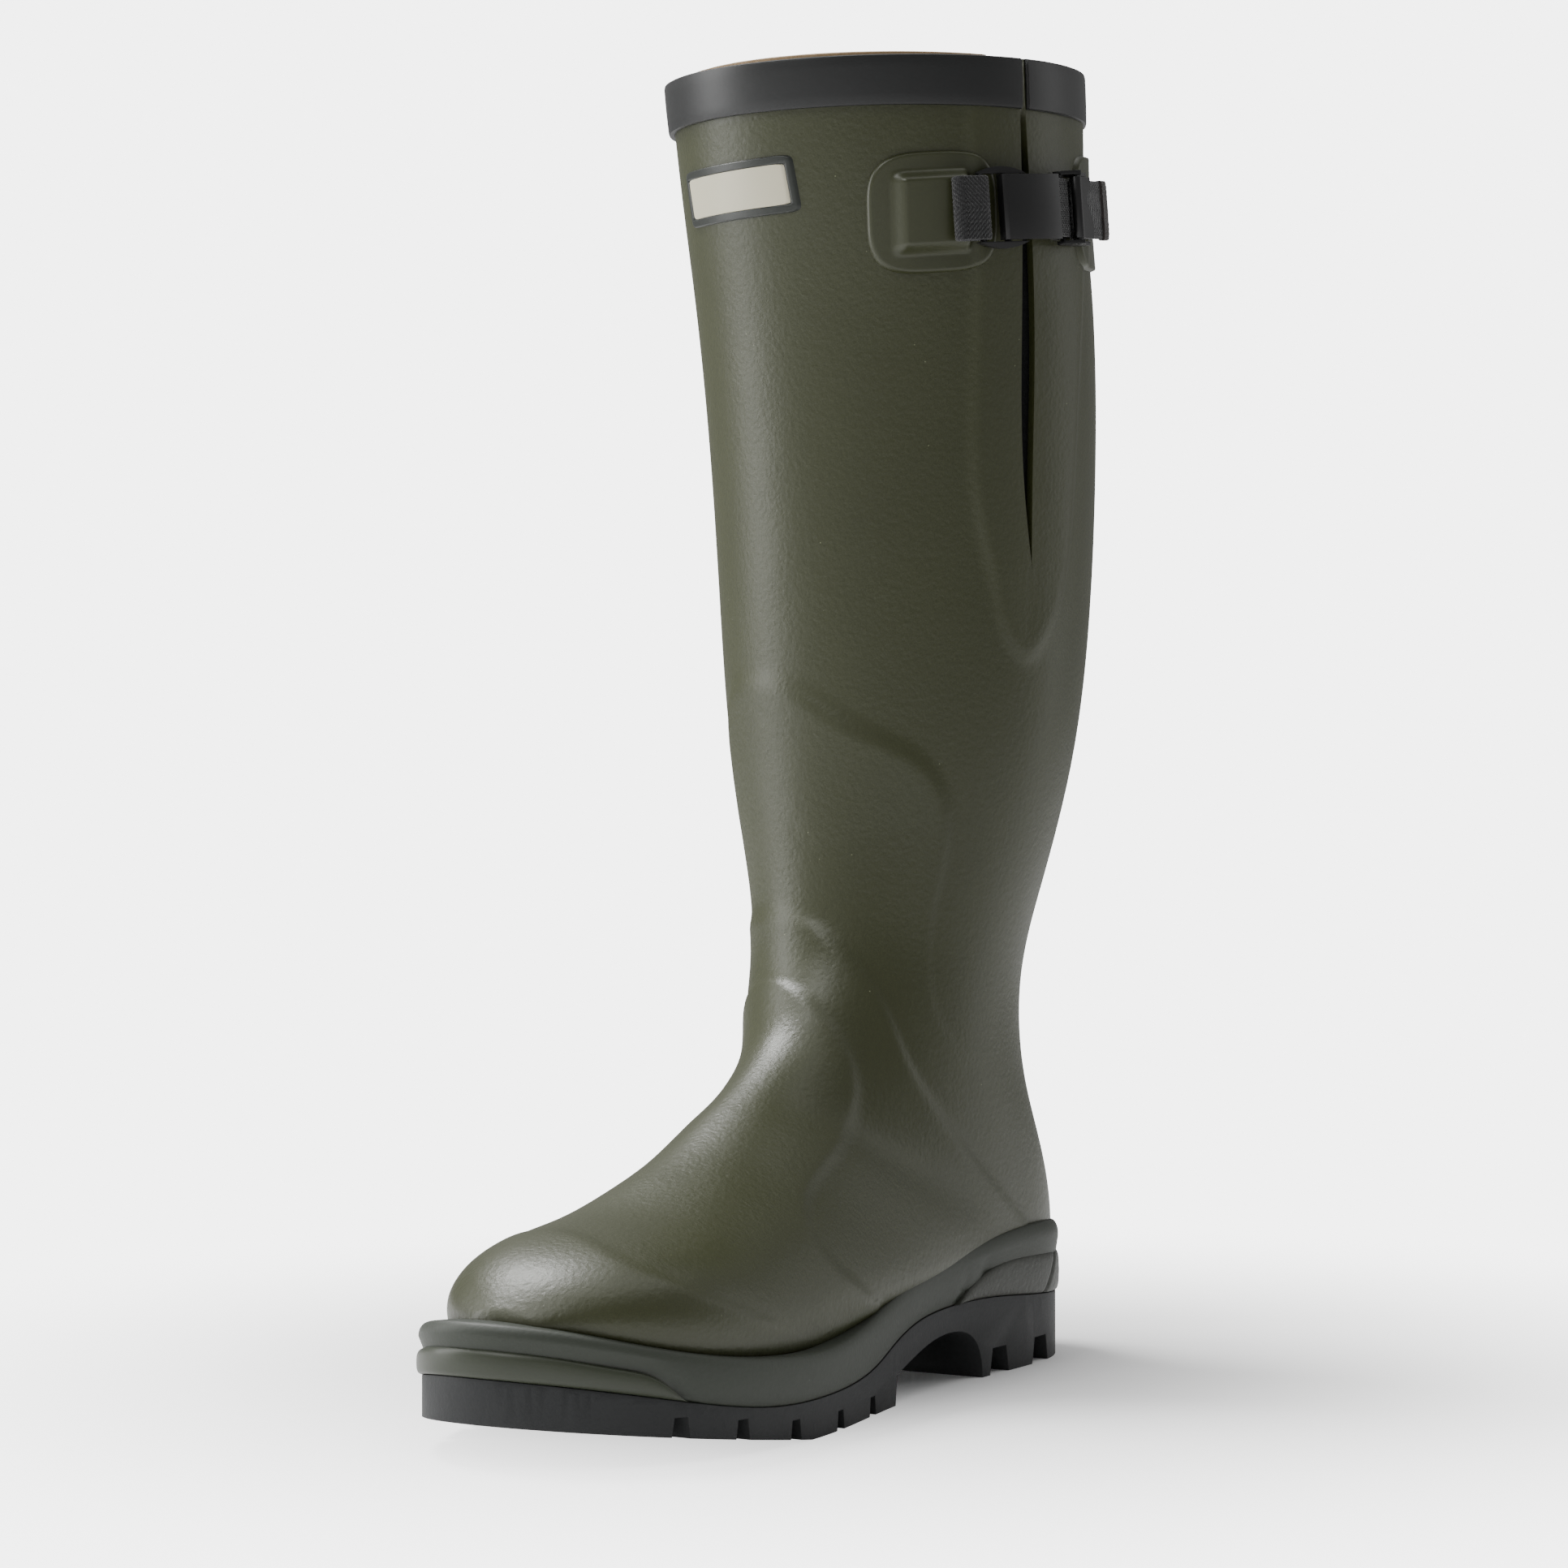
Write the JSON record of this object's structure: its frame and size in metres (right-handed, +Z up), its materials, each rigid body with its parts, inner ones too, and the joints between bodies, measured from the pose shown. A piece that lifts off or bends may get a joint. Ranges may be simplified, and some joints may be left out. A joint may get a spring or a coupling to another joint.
{
  "type": "insulated hunting boot",
  "caption": "Tall left rubber field boot with neoprene lining, side gusset with hook buckle and adjuster, cleated sole and blank badge.",
  "frame": {"origin": "on the ground under the heel, on the heel block's flat bottom", "axes": "-Y towards the toe, +X towards the outer (lateral) side, +Z up the leg"},
  "size_m": [0.1439, 0.3119, 0.4247],
  "materials": {
    "upper_rubber": "dark olive vulcanised rubber, fine grain, semi-matte",
    "trim_rubber": "black satin rubber",
    "rand_rubber": "grey-green textured rubber",
    "tread_rubber": "charcoal matte rubber",
    "neoprene": "black jersey-faced neoprene",
    "facing_tape": "tan woven tape",
    "webbing": "black woven webbing",
    "blackened_steel": "black satin coating",
    "badge_field": "ivory moulded rubber",
    "badge_rim": "dark moulded rubber rim",
    "fibreboard": "pressed fibreboard",
    "spring_steel": "tempered steel strip",
    "foam": "closed-cell foam"
  },
  "bodies": {
    "boot": {"upper_shell": "upper_rubber", "toe_cap": "upper_rubber", "instep_overlay": "upper_rubber", "shin_overlay": "upper_rubber", "ankle_overlay": "upper_rubber", "back_stay": "trim_rubber", "kick_spur": "trim_rubber", "collar_band": "trim_rubber", "gusset_surround": "upper_rubber", "gusset_bellows": "neoprene", "toe_puff": "fibreboard", "heel_stiffener": "fibreboard", "insole_board": "fibreboard", "neoprene_lining": "neoprene", "lining_facing": "facing_tape", "footbed": "foam", "toe_bumper": "rand_rubber", "heel_back_guard": "rand_rubber", "heel_panel_lateral": "rand_rubber", "heel_panel_medial": "rand_rubber", "midsole_rand": "rand_rubber", "steel_shank": "spring_steel", "midsole_filler": "foam", "heel_core": "foam", "outsole": "tread_rubber", "badge_plate": "badge_field", "badge_frame": "badge_rim", "front_anchor_patch": "upper_rubber", "rear_anchor_patch": "upper_rubber", "front_webbing_loop": "webbing", "buckle_ring": "blackened_steel", "strap_webbing": "webbing", "rear_webbing_loop": "webbing", "adjuster_frame": "blackened_steel", "adjuster_pin": "blackened_steel"},
    "hook": {"hook_plate": "blackened_steel"},
    "lever": {"adjuster_lever": "blackened_steel"},
    "tail": {"strap_tail": "webbing", "tail_hem": "webbing"}
  },
  "joints": [
    {"name": "hook_plate_swing", "type": "hinge", "parent": "boot", "child": "hook", "pos_m": [0.06918, -0.02154, 0.37346], "axis": [-0.0296, -0.0912, 0.9954], "range_deg": [0, 70]},
    {"name": "adjuster_lever_tilt", "type": "hinge", "parent": "boot", "child": "lever", "pos_m": [0.07367, -0.01319, 0.37435], "axis": [0.0296, 0.0912, -0.9954], "range_deg": [0, 50]},
    {"name": "strap_tail_slide", "type": "slide", "parent": "boot", "child": "tail", "axis": [-0.0014, 0.9958, 0.0912], "range_m": [0, 0.008]}
  ]
}
